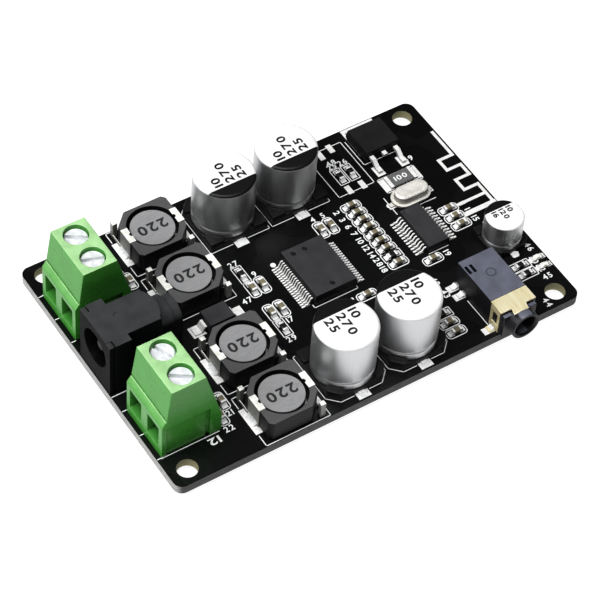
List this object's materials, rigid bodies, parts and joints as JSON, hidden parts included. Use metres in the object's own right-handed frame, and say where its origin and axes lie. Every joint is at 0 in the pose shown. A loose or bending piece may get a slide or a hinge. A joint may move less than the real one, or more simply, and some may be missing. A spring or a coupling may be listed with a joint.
{
  "type": "audio amplifier board",
  "caption": "Flat circuit board with audio amplifier parts, speaker screw terminals, a barrel power jack and an audio plug socket",
  "frame": {"origin": "on the board's underside, at the centre of the four mounting holes", "axes": "+X along the board from the screw terminals to the antenna, +Y to the rear long edge, +Z out of the populated face"},
  "size_m": [0.0724, 0.0497, 0.0171],
  "materials": {
    "board_mask": "satin black solder mask on glass epoxy",
    "tin": "bright tinned copper",
    "solder": "bright solder",
    "chip_epoxy": "matte moulded epoxy",
    "ferrite_shield": "dull grey ferrite",
    "ferrite_core": "ground grey ferrite",
    "copper_wire": "enamelled copper",
    "can_aluminium": "drawn satin aluminium",
    "base_plastic": "black moulded plastic",
    "terminal_green": "green moulded plastic",
    "screw_zinc": "bright zinc plating",
    "cage_steel": "plated steel",
    "contact_brass": "tinned brass",
    "jack_plastic": "dark grey moulded plastic",
    "audio_plastic": "slate moulded plastic",
    "gold_contact": "pale gold plating",
    "crystal_metal": "satin nickel",
    "ceramic_tan": "fired ceramic",
    "resistor_black": "black glaze",
    "lens": "clear yellowish resin"
  },
  "bodies": {
    "board": {"circuit_board": "board_mask", "solder_pads": "tin", "antenna_trace": "tin", "solder_joints": "solder", "amplifier_chip_body": "chip_epoxy", "amplifier_chip_leads": "tin", "radio_chip_body": "chip_epoxy", "radio_chip_leads": "tin", "inductor_1_shield": "ferrite_shield", "inductor_2_shield": "ferrite_shield", "inductor_3_shield": "ferrite_shield", "inductor_4_shield": "ferrite_shield", "inductor_1_core": "ferrite_core", "inductor_2_core": "ferrite_core", "inductor_3_core": "ferrite_core", "inductor_4_core": "ferrite_core", "inductor_coils": "copper_wire", "inductor_clips": "tin", "capacitor_1_can": "can_aluminium", "capacitor_2_can": "can_aluminium", "capacitor_3_can": "can_aluminium", "capacitor_4_can": "can_aluminium", "capacitor_1_base": "base_plastic", "capacitor_2_base": "base_plastic", "capacitor_3_base": "base_plastic", "capacitor_4_base": "base_plastic", "small_capacitor_can": "can_aluminium", "small_capacitor_base": "base_plastic", "capacitor_leads": "tin", "terminal_1_housing": "terminal_green", "terminal_2_housing": "terminal_green", "terminal_contacts": "contact_brass", "power_jack_housing": "jack_plastic", "power_jack_pin": "contact_brass", "power_jack_spring": "contact_brass", "power_jack_switch": "contact_brass", "audio_jack_housing": "audio_plastic", "audio_jack_sleeve_contact": "gold_contact", "audio_jack_springs": "gold_contact", "regulator_body": "chip_epoxy", "regulator_leads": "tin", "crystal_can": "crystal_metal", "crystal_header": "crystal_metal", "diode_body": "chip_epoxy", "diode_leads": "tin", "power_resistor": "resistor_black", "chip_capacitors": "ceramic_tan", "chip_resistors": "resistor_black", "chip_end_caps": "tin", "indicator_lights": "lens"},
    "screw_1": {"terminal_screw_1": "screw_zinc"},
    "clamp_1": {"clamp_cage_1": "cage_steel"},
    "screw_2": {"terminal_screw_2": "screw_zinc"},
    "clamp_2": {"clamp_cage_2": "cage_steel"},
    "screw_3": {"terminal_screw_3": "screw_zinc"},
    "clamp_3": {"clamp_cage_3": "cage_steel"},
    "screw_4": {"terminal_screw_4": "screw_zinc"},
    "clamp_4": {"clamp_cage_4": "cage_steel"}
  },
  "joints": [
    {"name": "screw_1_turn", "type": "hinge", "parent": "board", "child": "screw_1", "pos_m": [-0.03085, 0.01508, 0.0152], "axis": [0, 0, 1], "range_deg": [-1600, 0]},
    {"name": "clamp_1_rise", "type": "slide", "parent": "board", "child": "clamp_1", "axis": [0, 0, 1], "range_m": [0, 0.002]},
    {"name": "screw_2_turn", "type": "hinge", "parent": "board", "child": "screw_2", "pos_m": [-0.03085, 0.01008, 0.0152], "axis": [0, 0, 1], "range_deg": [-1600, 0]},
    {"name": "clamp_2_rise", "type": "slide", "parent": "board", "child": "clamp_2", "axis": [0, 0, 1], "range_m": [0, 0.002]},
    {"name": "screw_3_turn", "type": "hinge", "parent": "board", "child": "screw_3", "pos_m": [-0.03085, -0.01008, 0.0152], "axis": [0, 0, 1], "range_deg": [-1600, 0]},
    {"name": "clamp_3_rise", "type": "slide", "parent": "board", "child": "clamp_3", "axis": [0, 0, 1], "range_m": [0, 0.002]},
    {"name": "screw_4_turn", "type": "hinge", "parent": "board", "child": "screw_4", "pos_m": [-0.03085, -0.01508, 0.0152], "axis": [0, 0, 1], "range_deg": [-1600, 0]},
    {"name": "clamp_4_rise", "type": "slide", "parent": "board", "child": "clamp_4", "axis": [0, 0, 1], "range_m": [0, 0.002]}
  ],
  "couplings": [
    {"joint": "screw_1_turn", "follows": "clamp_1_rise", "rad_per_m": -13963},
    {"joint": "screw_2_turn", "follows": "clamp_2_rise", "rad_per_m": -13963},
    {"joint": "screw_3_turn", "follows": "clamp_3_rise", "rad_per_m": -13963},
    {"joint": "screw_4_turn", "follows": "clamp_4_rise", "rad_per_m": -13963}
  ]
}
